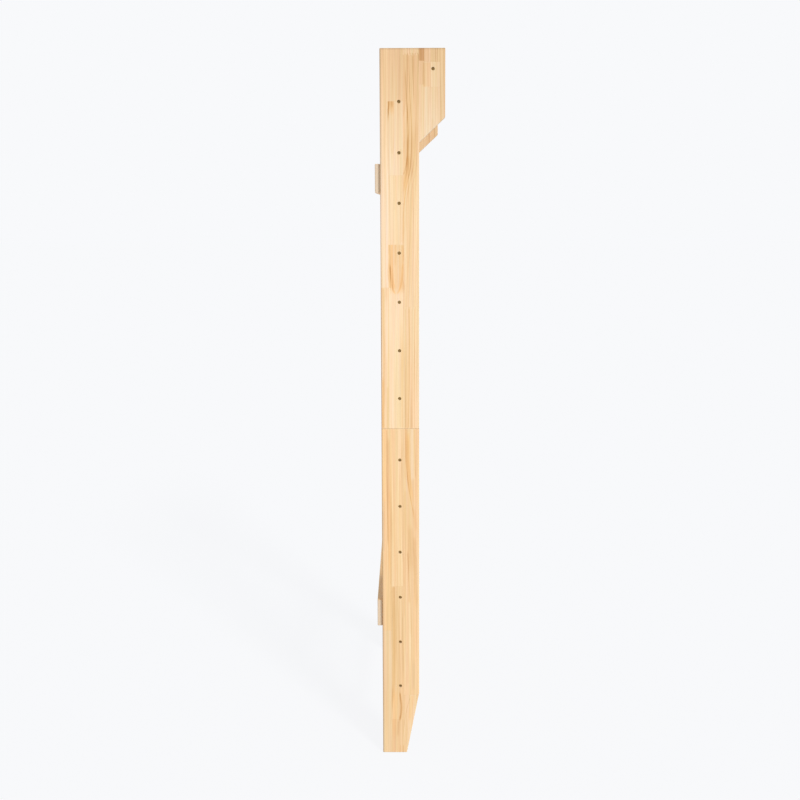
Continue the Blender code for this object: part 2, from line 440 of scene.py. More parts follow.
# Pine from its palest early wood to resin
PINE = (
    (0.00, (0.848, 0.669, 0.485)),
    (0.20, (0.815, 0.597, 0.366)),
    (0.40, (0.775, 0.530, 0.290)),
    (0.60, (0.738, 0.468, 0.232)),
    (0.78, (0.660, 0.405, 0.190)),
    (1.00, (0.510, 0.255, 0.085)),
)
PINE_END = (0.635, 0.530, 0.415, 1.0)
PINE_END_SHARE = 0.75
COOL = (0.950, 1.000, 1.100, 1.0)
WARM = (1.050, 1.000, 0.880, 1.0)
PINK = (1.012, 0.978, 1.000, 1.0)
GREEN = (0.985, 1.012, 0.965, 1.0)

# Painted shade on rounded edges, which makes them darker and greyer: the back ones, facing away from the
# key light, most, the top ones by EDGE_EVEN of it, the front ones not at all but slightly paler, as a
# painted highlight
EDGE_SHADE = 0.60
EDGE_SHADE_COOLING = -0.50
EDGE_EVEN = 0.3
EDGE_TO_BACK = 0.9

# Painted shade in a band along the back and top edges of a rail's sides, from none to full: depths from its
# back, and heights
SHADED_BAND_DEPTHS = (0.0070, 0.0015)
SHADED_BAND_HEIGHTS = (2.2250, 2.2305)
BAND_SHADE = 0.20

# Finger joints and glue lines
FINGER_LENGTH = 0.010
FINGER_PITCH = 0.0038
GLUE_LINE = 0.00018
TOOTHED_JOINT_Z = 2.2
STAVE_SEEDS = 0.731
FIRST_STAVE_SEED = 0.113
SEGMENT_SEEDS = 0.377

# How fine each noise of the pine is along, across and through the grain, in cycles to the metre
LOG_WAVE = (2.2, 9.0, 9.0)
LOG_RIPPLE = (11.0, 45.0, 45.0)
FIBRE = (22.0, 1500.0, 1500.0)
LINES = (2.0, 210.0, 210.0)
PORES = (3.5, 520.0, 520.0)
BLUSH = (3.0, 95.0, 95.0)
DUST = (3.0, 330.0, 330.0)
STREAK_WANDER = (14.0, 900.0, 30.0)
STREAK_TEXTURE = (6.0, 700.0, 200.0)

# What speckle multiplies the pine's colour by: DUST_BASE and up to DUST_CONTRAST more
DUST_BASE = 0.83
DUST_CONTRAST = 0.34

# How much each feature of the pine darkens it; bands and late wood go with a segment's figure
BANDS_TONE = 1.5
LATE_TONE = 0.9
FIBRE_TONE = 0.20
LINES_TONE = 0.62
PORES_TONE = 0.24
GLUE_TONE = 0.22

# A year's ring's width and how much it differs between segments, and how far rings wander and ripple
RING_WIDTH = 0.0021
RING_VARIETY = 0.0016
WAVE_SIZE = 0.012
RIPPLE_SIZE = 0.0016

# How far a log's pith lies from its piece across and through the grain: a distance, the range that the seed
# adds, and its lean in a metre along the grain from GRAIN_MIDDLE
PITH_ACROSS = (0.06, 0.26, 0.05)
PITH_THROUGH = (0.02, 0.07, 0.04)
GRAIN_MIDDLE = 1.0

# The depth that 1 stands for on a streak's curve
PATH_DEPTH = 0.2

# How far a streak wanders from its path, in its own widths
WANDER_SIZE = 0.9

# How squarely a face meets the grain to show its end, from not at all to fully
END_FACING = (0.55, 0.98)

# Painted shade where the light falls off towards the rails' tops: how much darker and cooler they are there
TOP_SHADE = 0.46
TOP_COOLING = -0.34
TOP_SHADE_HEIGHTS = (1.72, 2.30)

# The staves of each rail. A stave starts at a depth from the rail's back and is a stack of segments,
# finger-jointed end to end: each is (bottom height, tone, warmth, figure), from the top one down. Tone runs
# from 0, pale, to 1, dark; warmth from 0, greyish, to 1, orange; figure is the contrast of the rings.
STAVES = {
    "left_upper_rail": (
        (0.000, ((1.522, 0.06, 0.50, 0.25), (0.000, 0.25, 0.55, 0.30))),
        (0.025, (
            (2.078, 0.11, 0.32, 0.40),
            (1.860, 0.06, 0.35, 0.30),
            (1.653, 0.16, 0.50, 0.30),
            (0.000, 0.11, 0.55, 0.22),
        )),
        (0.070, ((2.219, 0.04, 0.30, 0.20), (1.463, 0.25, 0.50, 0.35), (0.000, 0.29, 0.50, 0.40))),
        (0.117, ((2.195, 0.50, 0.44, 0.30), (2.127, 0.20, 0.40, 0.30), (0.000, 0.06, 0.40, 0.25))),
        (0.133, ((2.192, 0.16, 0.26, 0.40), (2.119, 0.03, 0.30, 0.40), (0.000, -0.16, 0.14, 0.30))),
        (0.180, ((0.000, 0.22, 0.25, 0.45),)),
    ),
    "left_lower_rail": (
        (0.000, ((0.420, 0.42, 0.65, 0.30), (0.000, 0.42, 0.22, 0.30))),
        (0.029, ((0.568, 0.31, 0.60, 0.40), (0.115, 0.42, 0.40, 0.40), (0.000, 0.50, 0.34, 0.35))),
        (0.066, ((0.200, 0.40, 0.46, 0.30), (0.000, 0.38, 0.32, 0.45))),
    ),
    "right_upper_rail": (
        (0.000, ((1.690, 0.14, 0.50, 0.40), (0.000, 0.26, 0.55, 0.45))),
        (0.032, ((2.010, 0.22, 0.60, 0.45), (1.440, 0.12, 0.40, 0.35), (0.000, 0.22, 0.55, 0.50))),
        (0.076, ((1.870, 0.12, 0.45, 0.40), (1.300, 0.30, 0.60, 0.55), (0.000, 0.16, 0.50, 0.35))),
        # The two front staves, in the overhang, carry painted shade as well as their wood's tone: they are
        # darker and greyer than the wood alone
        (0.121, ((2.095, 0.26, 0.60, 0.50), (0.000, 0.32, 0.05, 0.40))),
        (0.166, ((0.000, 0.28, 0.20, 0.45),)),
    ),
    "right_lower_rail": (
        (0.000, ((0.640, 0.24, 0.50, 0.40), (0.000, 0.36, 0.55, 0.50))),
        (0.036, ((0.900, 0.38, 0.60, 0.50), (0.330, 0.24, 0.40, 0.35), (0.000, 0.34, 0.65, 0.45))),
        (0.080, ((0.480, 0.30, 0.50, 0.55), (0.000, 0.26, 0.60, 0.35))),
    ),
}

# A streak is a stretch of darker or, with a negative strength, paler grain along a path of (height, depth)
# points, from the top down. width is half of its breadth, core the part of it that is evenly dark, and the
# fades are the parts of its length over which its top and its bottom appear.
STREAK_FIELDS = "path width strength core fade_in fade_out warmth"
Streak = namedtuple("Streak", STREAK_FIELDS, defaults=(0.1, 0.04, 0.15, 0.0))

# The streaks of each rail
STREAKS = {
    "left_upper_rail": (
        # resin below the joint in the second stave
        (((2.078, 0.0265), (2.01, 0.025)), 0.0024, 0.8, 0.4, 0.01, 0.7, 0.2),
        (((2.078, 0.034), (2.03, 0.037)), 0.013, 0.34, 0.2, 0.01, 0.9, 0.6),
        (((2.06, 0.0235), (1.86, 0.023)), 0.0018, 0.26, 0.1, 0.04, 0.15, -0.3),
        # the darker half of the overhang's short block
        (((2.19, 0.14), (2.12, 0.14)), 0.012, 0.14, 0.8, 0.01, 0.01, 0.2),
        # the darker end of the third stave, where the grain swirls
        (((2.215, 0.1), (1.98, 0.105)), 0.016, -0.1, 0.7, 0.01, 0.2),
        (((2.0, 0.088), (1.92, 0.088), (1.83, 0.08)), 0.018, 0.15, 0.6, 0.3, 0.3),
        (((2.19, 0.0765), (2.1, 0.079), (2.03, 0.084), (1.95, 0.0838), (1.91, 0.081), (1.88, 0.076),
          (1.86, 0.0695)), 0.0028, 0.28, 0.2, 0.15, 0.02, 0.2),
        (((2.21, 0.0875), (2.12, 0.089), (2.03, 0.0945), (1.95, 0.095), (1.9, 0.093), (1.87, 0.089),
          (1.84, 0.082), (1.8, 0.075), (1.76, 0.0715), (1.6, 0.0705)), 0.0026, 0.32, 0.2, 0.4, 0.2, 0.3),
        (((2.21, 0.099), (2.12, 0.1015), (2.05, 0.106)), 0.0026, 0.14, 0.2, 0.02, 0.3),
        (((2.05, 0.106), (1.96, 0.106), (1.9, 0.102), (1.86, 0.095), (1.82, 0.086), (1.79, 0.08),
          (1.7, 0.0785), (1.66, 0.0785)), 0.0024, 0.18, 0.2, 0.2, 0.15),
        (((1.93, 0.087), (1.88, 0.083), (1.84, 0.076), (1.8, 0.0715)), 0.0085, 0.2, 0.2, 0.2, 0.3, 0.4),
        (((2.0, 0.0905), (1.9, 0.089), (1.85, 0.083), (1.8, 0.0745)), 0.0022, -0.12, 0.2, 0.2, 0.2),
        (((1.95, 0.113), (1.88, 0.108), (1.82, 0.096), (1.74, 0.09), (1.58, 0.0885), (1.46, 0.088)),
         0.002, 0.14, 0.2, 0.1, 0.1, -0.3),
        (((1.86, 0.113), (1.78, 0.102), (1.66, 0.099), (1.46, 0.098)), 0.0024, 0.15, 0.2, 0.4, 0.02, -0.4),
        # the olive and orange heart of the second stave's short piece, closed by a curl of grain
        (((1.653, 0.0475), (1.56, 0.0475), (1.495, 0.0475)), 0.024, 0.2, 0.9, 0.01, 0.2),
        (((1.653, 0.027), (1.52, 0.0285)), 0.004, 0.3, 0.4, 0.01, 0.02, 0.2),
        (((1.6, 0.033), (1.5, 0.038)), 0.007, 0.12, 0.4, 0.4, 0.3, 0.3),
        (((1.653, 0.035), (1.6, 0.035), (1.55, 0.037), (1.515, 0.044)), 0.0034, 0.2, 0.3, 0.01, 0.1, 0.8),
        (((1.653, 0.0445), (1.58, 0.0445)), 0.0034, 0.2, 0.4, 0.01, 0.3),
        (((1.653, 0.057), (1.54, 0.057), (1.51, 0.053)), 0.0026, 0.18, 0.4, 0.01, 0.2),
        (((1.653, 0.068), (1.56, 0.068), (1.5, 0.064)), 0.005, 0.16, 0.3, 0.05, 0.2, 0.2),
        (((1.6, 0.028), (1.545, 0.033), (1.515, 0.039), (1.5, 0.046)), 0.004, 0.3, 0.4, 0.2, 0.1, 0.6),
        (((1.6, 0.068), (1.545, 0.064), (1.515, 0.057), (1.5, 0.049)), 0.004, 0.26, 0.4, 0.2, 0.1, 0.6),
        (((1.94, 0.064), (1.8, 0.064), (1.65, 0.065)), 0.0055, 0.14, 0.4, 0.02, 0.05),
        (((1.463, 0.066), (1.25, 0.065), (1.083, 0.063)), 0.009, 0.2, 0.4, 0.5, 0.01),
        # the back edge of the first stave
        (((1.522, 0.008), (1.3, 0.009), (1.083, 0.006)), 0.006, 0.14, 0.3, 0.02, 0.01),
        (((1.25, 0.006), (1.083, 0.006)), 0.0045, 0.22, 0.5, 0.15, 0.01, 0.4),
        (((1.5, 0.018), (1.26, 0.018)), 0.005, -0.12, 0.4, 0.1, 0.4),
        (((1.22, 0.02), (1.083, 0.018)), 0.004, 0.18, 0.4, 0.1, 0.01),
        # the third stave's lower piece darkens towards the joint
        (((1.4, 0.08), (1.083, 0.085)), 0.014, 0.12, 0.6, 0.5, 0.01),
        (((1.46, 0.087), (1.3, 0.088), (1.083, 0.084)), 0.0024, 0.28, 0.2, 0.02, 0.01, 0.2),
        (((1.46, 0.0755), (1.083, 0.0745)), 0.0018, 0.3, 0.2, 0.02, 0.01, -0.2),
        (((1.46, 0.1035), (1.3, 0.104), (1.083, 0.103)), 0.0016, 0.28, 0.2, 0.02, 0.01),
        (((1.46, 0.096), (1.083, 0.095)), 0.0016, 0.22, 0.2, 0.02, 0.01),
    ),
    "left_lower_rail": (
        (((1.081, 0.016), (0.93, 0.0165), (0.8, 0.0175), (0.69, 0.0195)), 0.0026, 0.3, 0.2, 0.02, 0.1),
        (((1.06, 0.021), (0.8, 0.021)), 0.008, 0.16, 0.4, 0.1, 0.3),
        (((1.081, 0.0075), (0.84, 0.008)), 0.006, -0.05, 0.5, 0.02, 0.1, 0.7),
        (((1.0, 0.027), (0.8, 0.028), (0.57, 0.027)), 0.0018, 0.14, 0.2, 0.2, 0.02),
        (((0.9, 0.023), (0.6, 0.023)), 0.0035, 0.12, 0.2, 0.2, 0.2, 0.5),
        (((0.82, 0.003), (0.68, 0.005)), 0.005, 0.1, 0.4, 0.1, 0.1, -0.4),
        (((1.06, 0.064), (0.75, 0.0645), (0.63, 0.067)), 0.0016, 0.28, 0.2, 0.2, 0.1, -0.3),
        (((1.081, 0.043), (0.58, 0.043)), 0.0012, 0.18, 0.2, 0.05, 0.02, -0.2),
        (((1.081, 0.036), (0.58, 0.035)), 0.0012, 0.16, 0.2, 0.05, 0.02),
        (((1.081, 0.056), (0.9, 0.058)), 0.006, -0.1, 0.4, 0.02, 0.3),
        # the orange cathedral in the front stave
        (((1.081, 0.0765), (1.0, 0.077), (0.95, 0.079), (0.9, 0.084), (0.86, 0.0905), (0.82, 0.098),
          (0.77, 0.107)), 0.002, 0.3, 0.2, 0.01, 0.2, 0.9),
        (((1.081, 0.082), (1.0, 0.082), (0.95, 0.084), (0.9, 0.0895), (0.86, 0.096), (0.82, 0.102)),
         0.0074, 0.2, 0.5, 0.2, 0.4, 1.2),
        (((1.081, 0.0955), (1.0, 0.0955), (0.91, 0.098)), 0.0064, -0.22, 0.5, 0.01, 0.1),
        (((1.081, 0.1035), (1.0, 0.1045), (0.92, 0.1075)), 0.0024, 0.22, 0.2, 0.02, 0.1),
        (((0.93, 0.074), (0.9, 0.0745), (0.87, 0.076)), 0.007, -0.1, 0.3, 0.3, 0.3),
        (((0.84, 0.1), (0.74, 0.108)), 0.009, 0.14, 0.4, 0.3, 0.3),
        (((0.78, 0.09), (0.6, 0.095)), 0.013, 0.14, 0.5, 0.2, 0.3),
        (((0.7, 0.08), (0.6, 0.085), (0.5, 0.0895), (0.39, 0.092)), 0.0022, 0.26, 0.2, 0.1, 0.1),
        (((0.74, 0.104), (0.48, 0.109)), 0.007, 0.15, 0.5, 0.1, 0.2),
        (((0.68, 0.069), (0.56, 0.07)), 0.003, 0.14, 0.3, 0.2, 0.2),
        (((0.52, 0.086), (0.28, 0.086)), 0.006, -0.16, 0.4, 0.05, 0.4),
        # the lower piece of the middle stave
        (((0.567, 0.035), (0.25, 0.035), (0.13, 0.027)), 0.007, 0.2, 0.4, 0.01, 0.2, 0.2),
        (((0.5, 0.052), (0.35, 0.054), (0.25, 0.057)), 0.0022, 0.14, 0.2, 0.1, 0.2),
        (((0.48, 0.0645), (0.25, 0.066)), 0.0018, 0.2, 0.2, 0.1, 0.2, -0.2),
        (((0.48, 0.07), (0.24, 0.073)), 0.0024, -0.14, 0.2, 0.1, 0.2),
        (((0.35, 0.078), (0.22, 0.078)), 0.0024, 0.12, 0.2, 0.1, 0.2, -0.2),
        (((0.33, 0.1), (0.21, 0.1)), 0.008, 0.08, 0.4, 0.3, 0.2, -0.3),
        (((0.215, 0.054), (0.19, 0.057), (0.155, 0.0595), (0.125, 0.057), (0.1, 0.051)),
         0.004, 0.42, 0.3, 0.15, 0.2, 0.3),
        (((0.24, 0.031), (0.15, 0.029), (0.09, 0.024)), 0.003, 0.14, 0.2, 0.2, 0.2),
        (((0.23, 0.04), (0.03, 0.038)), 0.009, 0.06, 0.5, 0.2, 0.3, 0.4),
        (((0.198, 0.096), (0.1, 0.086)), 0.008, 0.12, 0.3, 0.02, 0.3, 0.3),
        (((0.195, 0.09), (0.12, 0.072), (0.08, 0.07)), 0.0018, 0.24, 0.2, 0.1, 0.2, -0.2),
        (((0.11, 0.052), (0.05, 0.048)), 0.006, 0.14, 0.3, 0.1, 0.3),
        (((0.03, 0.056), (0.0, 0.056)), 0.003, 0.16, 0.3, 0.3, 0.01, 0.2),
        (((0.03, 0.066), (0.0, 0.066)), 0.0024, 0.22, 0.3, 0.3, 0.01, 0.2),
    ),
    "right_upper_rail": (
        (((2.09, 0.055), (1.9, 0.062), (1.7, 0.06)), 0.005, 0.22, 0.1, 0.04, 0.15, 0.2),
        (((1.76, 0.1), (1.5, 0.104), (1.3, 0.09)), 0.006, 0.24, 0.1, 0.04, 0.15, 0.3),
    ),
    "right_lower_rail": (
        (((0.96, 0.06), (0.74, 0.06), (0.52, 0.05)), 0.005, 0.24, 0.1, 0.04, 0.15, 0.3),
        (((0.42, 0.098), (0.26, 0.096), (0.12, 0.088)), 0.004, 0.22),
    ),
}


def grow_rings(tree, grain, outer_x, seed):
    """The distance from the pith of the log that a piece was sawn from; the seed places that pith."""
    length, across, through = grain
    place, lean, other = random_values(tree, seed)
    wave = grain_noise(tree, grain, LOG_WAVE, 1.0, shift=(0, seed * 7.3, 0)) - 0.5
    ripple = grain_noise(tree, grain, LOG_RIPPLE, 1.0, shift=(0, 0, seed * 3.1)) - 0.5
    away, spread, leaning = PITH_ACROSS
    off_across = across - away - (place - 0.5) * spread - (length - GRAIN_MIDDLE) * (lean - 0.5) * leaning
    away, spread, leaning = PITH_THROUGH
    sideways = (length - GRAIN_MIDDLE) * (place - lean) * leaning
    off_through = through - outer_x + away + other * spread + sideways
    radius = (off_across * off_across + off_through * off_through).math("SQRT")
    return radius + wave * WAVE_SIZE + ripple * RIPPLE_SIZE


def pine_darkness(tree, grain, outer_x, seed, tone, figure):
    """How dark the wood is, and its late wood and fibre, which also shape its gloss and its bumps."""
    radius = grow_rings(tree, grain, outer_x, seed)
    spacing = RING_WIDTH + random_values(tree, seed + 0.37)[0] * RING_VARIETY
    turn = radius / spacing
    phase = turn.fraction()
    late = phase ** 3.0 * phase.step(1.0, 0.93)
    year = noise(tree, point(tree, turn * 0.9, seed * 5.0, 0.0), 1.0)
    bands = noise(tree, point(tree, radius * 130.0, seed * 11.0, grain[0] * 0.7), 2.0, 0.6) - 0.5
    fibre = grain_noise(tree, grain, FIBRE, 2.0, 0.6) - 0.5
    lines = grain_noise(tree, grain, LINES, 2.0, 0.7, (0, 0, seed)) - 0.5
    pores = grain_noise(tree, grain, PORES, 1.0, shift=(0, seed, 0)).step(0.50, 0.78)
    darkness = tone + figure * (bands * BANDS_TONE + late * year * LATE_TONE)
    darkness = darkness + fibre * FIBRE_TONE + lines * LINES_TONE + pores * PORES_TONE
    return darkness, late, fibre


def lay_staves(tree, grain, outer_x, staves):
    """Which segment of which stave a point lies in: its look, its seed and whether it is a glue line.

    Finger joints run through the rail's thickness, so they are straight on its sides and toothed on its
    edges. The topmost joint at the overhang is cut the other way, with its teeth on the sides.
    """
    length, across, through = grain
    side_fingers = abs(((through - outer_x) / FINGER_PITCH).fraction() - 0.5)
    through_length = length + (side_fingers * -2.0 + 1.0) * FINGER_LENGTH
    face_fingers = abs((across / (2 * FINGER_PITCH)).fraction() - 0.5)
    face_length = length + (face_fingers * -2.0 + 1.0) * FINGER_LENGTH
    look = None
    for number, (edge, segments) in enumerate(staves):
        _, *top_look = segments[0]
        stave_look = (*top_look, 1.0)
        stave_seed = STAVE_SEEDS * number + FIRST_STAVE_SEED
        stave_line = 0.0
        for joint, (_, *next_look) in zip([segment[0] for segment in segments], segments[1:]):
            cut_length = face_length if joint > TOOTHED_JOINT_Z else through_length
            beneath = cut_length.below(joint)
            stave_look = blend(tree, beneath, stave_look, (*next_look, 1.0))
            stave_seed = beneath * SEGMENT_SEEDS + stave_seed
            stave_line = cut_length.near(joint, GLUE_LINE).at_least(stave_line)
        if look is None:
            look, seed, line = stave_look, stave_seed, stave_line
            continue
        inside = across.above(edge)
        look = blend(tree, inside, look, stave_look)
        seed = blend(tree, inside, seed, stave_seed, "FLOAT")
        line = blend(tree, inside, line, stave_line, "FLOAT").at_least(across.near(edge, GLUE_LINE))
    return look, seed, line


def trace_streak(tree, grain, streak):
    """1 along a streak's path and 0 away from it."""
    length, across, through = grain
    path, width = streak.path, streak.width
    top, bottom = path[0][0], path[-1][0]
    down = (top - length) / (top - bottom)
    node = tree.nodes.new("ShaderNodeFloatCurve")
    curve = node.mapping.curves[0]
    places = [((top - height) / (top - bottom), depth / PATH_DEPTH) for height, depth in path]
    curve.points[0].location = places[0]
    curve.points[1].location = places[-1]
    for place in places[1:-1]:
        curve.points.new(*place)
    node.mapping.update()
    plug(tree, node.inputs["Value"], down)
    centre = Wire(tree, node.outputs[0]) * PATH_DEPTH
    wander = grain_noise(tree, (length, path[0][1], through), STREAK_WANDER, 2.0) - 0.5
    offset = abs(across - centre + wander * width * WANDER_SIZE) / width
    texture = grain_noise(tree, grain, STREAK_TEXTURE, 1.0) + 0.5
    fades = down.step(0.0, streak.fade_in), down.step(1.0, 1.0 - streak.fade_out)
    return offset.step(1.0, streak.core) * fades[0] * fades[1] * texture


def make_pine(name, axes, staves=(), streaks=(), outer_x=0.0, end_axis=2):
    """Oiled pine. axes turns object coordinates into (length, across, through) along the grain's axes."""
    material, tree, shader = new_material(name)
    grain = axes(*piece_coordinates(tree))
    length, across, _ = grain
    if staves:
        look, seed, line = lay_staves(tree, grain, outer_x, staves)
        tone, warmth, figure = parts(tree, look)
        # Painted shade: darker and cooler towards the rails' tops
        shade = length.step(*TOP_SHADE_HEIGHTS)
        tone = tone + shade * TOP_SHADE
        warmth = warmth + shade * TOP_COOLING
    else:
        seed = piece_seed(tree)
        first, second, third = random_values(tree, seed + 0.5)
        tone, warmth, figure, line = first * 0.12 + 0.22, second * 0.4 + 0.3, third * 0.2 + 0.5, 0.0
    darkness, late, fibre = pine_darkness(tree, grain, outer_x, seed, tone, figure)
    for streak in streaks:
        trace = trace_streak(tree, grain, streak)
        darkness = darkness + trace * streak.strength
        if streak.warmth:
            warmth = warmth + trace * streak.warmth

    normal = coordinates(tree, "Normal")
    ends = abs(normal[end_axis]).step(*END_FACING)
    side_facing = abs(normal[0])
    # Painted shade on the rounded edges, strongest where they face the back, and a painted highlight where
    # they face the front
    edges = (side_facing * side_facing * -1.0 + 1.0).math("SQRT") * side_facing * 2.0
    edges = edges * (normal[1] * EDGE_TO_BACK + EDGE_EVEN)
    darkness = darkness + GLUE_TONE * line + edges * EDGE_SHADE
    warmth = warmth + edges * EDGE_SHADE_COOLING

    colour = ramp(tree, darkness, PINE)
    colour = multiply(tree, colour, blend(tree, warmth.clamped(), COOL, WARM))
    blush = grain_noise(tree, grain, BLUSH, 1.0, shift=(0, 0, seed)) * 3.0 - 1.0
    colour = multiply(tree, colour, blend(tree, blush.clamped(), GREEN, PINK))
    dust_and_shade = grain_noise(tree, grain, DUST, 2.0, 0.6, (0, seed, 0)) * DUST_CONTRAST + DUST_BASE
    if staves:
        # Painted shade along the back and top edges of the rails' sides, multiplied in with the speckle
        shaded_band = across.step(*SHADED_BAND_DEPTHS).at_least(length.step(*SHADED_BAND_HEIGHTS))
        dust_and_shade = dust_and_shade - shaded_band * side_facing * BAND_SHADE
    colour = multiply(tree, colour, point(tree, dust_and_shade, dust_and_shade, dust_and_shade))
    colour = blend(tree, ends * PINE_END_SHARE, colour, PINE_END)
    plug(tree, shader.inputs["Base Color"], colour)
    gloss = 0.50 - late * 0.06 + fibre * 0.18 + ends * 0.14
    plug(tree, shader.inputs["Roughness"], gloss)
    shader.inputs["IOR"].default_value = 1.46
    bump(tree, shader, late * 0.5 + fibre - line, 0.00012, 0.6)
    return material


# ---------------- other materials

BEECH = (
    (0.00, (0.760, 0.560, 0.375)),
    (0.45, (0.690, 0.480, 0.300)),
    (0.80, (0.600, 0.390, 0.225)),
    (1.00, (0.440, 0.260, 0.140)),
)
BEECH_RING_WIDTH = 0.0026

# How fine each noise of the beech is
BEECH_WAVE = (2.5, 20.0, 20.0)
BEECH_FLECKS = (260.0, 1900.0, 1900.0)
BEECH_FIBRE = (18.0, 900.0, 900.0)

# How far from a rung's middle it is hand-polished, from not at all to fully
WORN = (0.41, 0.12)

STEEL = (
    (0.20, (0.300, 0.185, 0.062)),
    (0.55, (0.455, 0.300, 0.120)),
    (0.90, (0.630, 0.465, 0.230)),
)


def make_beech(name, axes, end_axis):
    """Beech, sanded and oiled: faint rings and short dark flecks along the grain."""
    material, tree, shader = new_material(name)
    grain = axes(*piece_coordinates(tree))
    length, across, through = grain
    seed = piece_seed(tree)
    first, second, third = random_values(tree, seed)
    lean_across = across + (first - 0.5) * 0.16 + length * (second - 0.5) * 0.06
    lean_through = through + (third - 0.5) * 0.12
    radius = (lean_across * lean_across + lean_through * lean_through).math("SQRT")
    wave = grain_noise(tree, grain, BEECH_WAVE, 1.0, shift=(0, seed * 9.0, 0)) - 0.5
    turn = (radius + wave * 0.008) / BEECH_RING_WIDTH
    bands = noise(tree, point(tree, turn * 0.35, seed * 17.0, length * 0.8), 2.0) - 0.5
    late = turn.fraction() ** 2.0
    flecks = grain_noise(tree, grain, BEECH_FLECKS, 0.0, shift=(0, seed, 0)).step(0.60, 0.70)
    fibre = grain_noise(tree, grain, BEECH_FIBRE, 2.0, 0.6, (0, 0, seed)) - 0.5
    ends = abs(coordinates(tree, "Normal")[end_axis]).step(*END_FACING)
    darkness = 0.26 + second * 0.16 + bands * 0.55 + late * 0.10
    darkness = darkness + flecks * 0.20 + fibre * 0.24 + ends * 0.25
    plug(tree, shader.inputs["Base Color"], ramp(tree, darkness, BEECH))
    worn = abs(length).step(*WORN)
    gloss = 0.44 - worn * 0.05 + flecks * 0.10 + fibre * 0.14 + ends * 0.15
    plug(tree, shader.inputs["Roughness"], gloss)
    shader.inputs["IOR"].default_value = 1.47
    bump(tree, shader, fibre - flecks * 0.8, 0.00010, 0.5)
    return material


def make_steel(name):
    """Zinc-plated steel with a yellowish passivation, slightly mottled and scuffed."""
    material, tree, shader = new_material(name)
    x, y, z = coordinates(tree)
    seed = piece_seed(tree)
    mottle = noise(tree, point(tree, x * 700.0 + seed * 13.0, y * 700.0, z * 700.0), 3.0)
    scuffs = noise(tree, point(tree, x * 5200.0, y * 2600.0 + seed, z * 5200.0), 2.0).step(0.62, 0.72)
    colour = ramp(tree, mottle * 0.8 + scuffs * 0.25, STEEL)
    plug(tree, shader.inputs["Base Color"], colour)
    plug(tree, shader.inputs["Roughness"], 0.28 + mottle * 0.16 + scuffs * 0.12)
    shader.inputs["Metallic"].default_value = 1.0
    bump(tree, shader, mottle - scuffs * 0.6, 0.00004, 0.5)
    return material


# ---------------- rails

def rail_outline(low, high, main_depth):
    """A rail's corners as (depth, z), a depth being a distance forward from its back."""
    depth = high.y - low.y
    if low.z < FOOT_TAPER_Z:
        front = [(FOOT_DEPTH, low.z), (depth, FOOT_TAPER_Z)]
    else:
        front = [(main_depth, low.z), (main_depth, OVERHANG_ROOT_Z), (depth, OVERHANG_CORNER_Z)]
    return [(0, low.z), *front, (depth, high.z), (0, high.z)]


def rail_blank(node, main_depth):
    """A rail before it is bored, its edges rounded except at its joint end and in its inner corner."""
    low, high = box(node)
    joint_z = high.z if low.z < FOOT_TAPER_Z else low.z
    outline = rail_outline(low, high, main_depth)
    bm = bmesh.new()
    skin_rings(bm, [[(x, high.y - depth, z) for depth, z in outline] for x in (low.x, high.x)])
    bmesh.ops.recalc_face_normals(bm, faces=bm.faces)

    def at_joint(edge):
        return all(abs(vert.co.z - joint_z) < CLEARANCE for vert in edge.verts)

    round_edges(bm, [e for e in bm.edges if not at_joint(e) and e.is_convex], RAIL_EDGE_RADIUS)
    round_edges(bm, [e for e in bm.edges if at_joint(e)], JOINT_EDGE_RADIUS, 1)
    return add_object(f"{node}_detail", bm)


def pocket_cutter(side, inner_x):
    """The oval pockets that the rungs' ends sit in."""
    bm = bmesh.new()
    for node in RUNG_NODES:
        low, high = box(node)
        half = (high - low) / 2
        rings = [oval(half.y + CLEARANCE, half.z + CLEARANCE, z) for z in (-OVERCUT, POCKET_DEPTH)]
        centre = middle(node)
        skin_rings(bm, rings, face_matrix(side, (inner_x, centre.y, centre.z)))
    return add_object("pocket_cutter", bm)


def face_matrix(side, origin):
    """Stands a shape on a rail's side face, with its X along the frame's Y, its Y up and its Z outwards."""
    matrix = Matrix(((0, 0, side, 0), (side, 0, 0, 0), (0, 1, 0, 0), (0, 0, 0, 1)))
    return Matrix.Translation(origin) @ matrix


def bore_cutter(side, outer_x):
    """The counterbored screw holes, with a small chamfer at their mouths."""
    hole = RUNG_SCREW["shank_radius"] + CLEARANCE
    low, high = box("left_lower_rail")
    thickness = high.x - low.x
    profile = [
        (hole, POCKET_DEPTH - thickness - OVERCUT),
        (hole, -COUNTERBORE_DEPTH),
        (COUNTERBORE_RADIUS, -COUNTERBORE_DEPTH),
        (COUNTERBORE_RADIUS, -COUNTERBORE_CHAMFER),
        (COUNTERBORE_RADIUS + COUNTERBORE_CHAMFER, 0.0),
        (COUNTERBORE_RADIUS + COUNTERBORE_CHAMFER + OVERCUT, OVERCUT),
    ]
    bm = bmesh.new()
    for node in RUNG_NODES:
        centre = middle(node)
        rings = [circle(radius, z, BORE_SEGMENTS) for radius, z in profile]
        skin_rings(bm, rings, face_matrix(side, (outer_x, centre.y, centre.z)))
    return add_object("bore_cutter", bm)


def fixing_cutter(label):
    """The holes for the dowels and for the boards' screws, a clearance wider than what goes in them."""
    bm = bmesh.new()
    for node in nodes_named(label, "_dowel"):
        low, high = box(node)
        radius = (high.y - low.y) / 2 + CLEARANCE
        reach = (high.z - low.z) / 2 + CLEARANCE
        rings = [circle(radius, z, HIDDEN_SEGMENTS) for z in (-reach, reach)]
        skin_rings(bm, rings, Matrix.Translation(middle(node)))
    radius = BOARD_SCREW["shank_radius"] + CLEARANCE
    for node in nodes_named("_board_", label, "_screw"):
        low, high = box(node)
        rings = [circle(radius, z, HIDDEN_SEGMENTS) for z in (-OVERCUT, high.y - low.y)]
        centre = middle(node)
        skin_rings(bm, rings, along((centre.x, high.y - OVERCUT, centre.z), (0, -1, 0)))
    return add_object("fixing_cutter", bm)


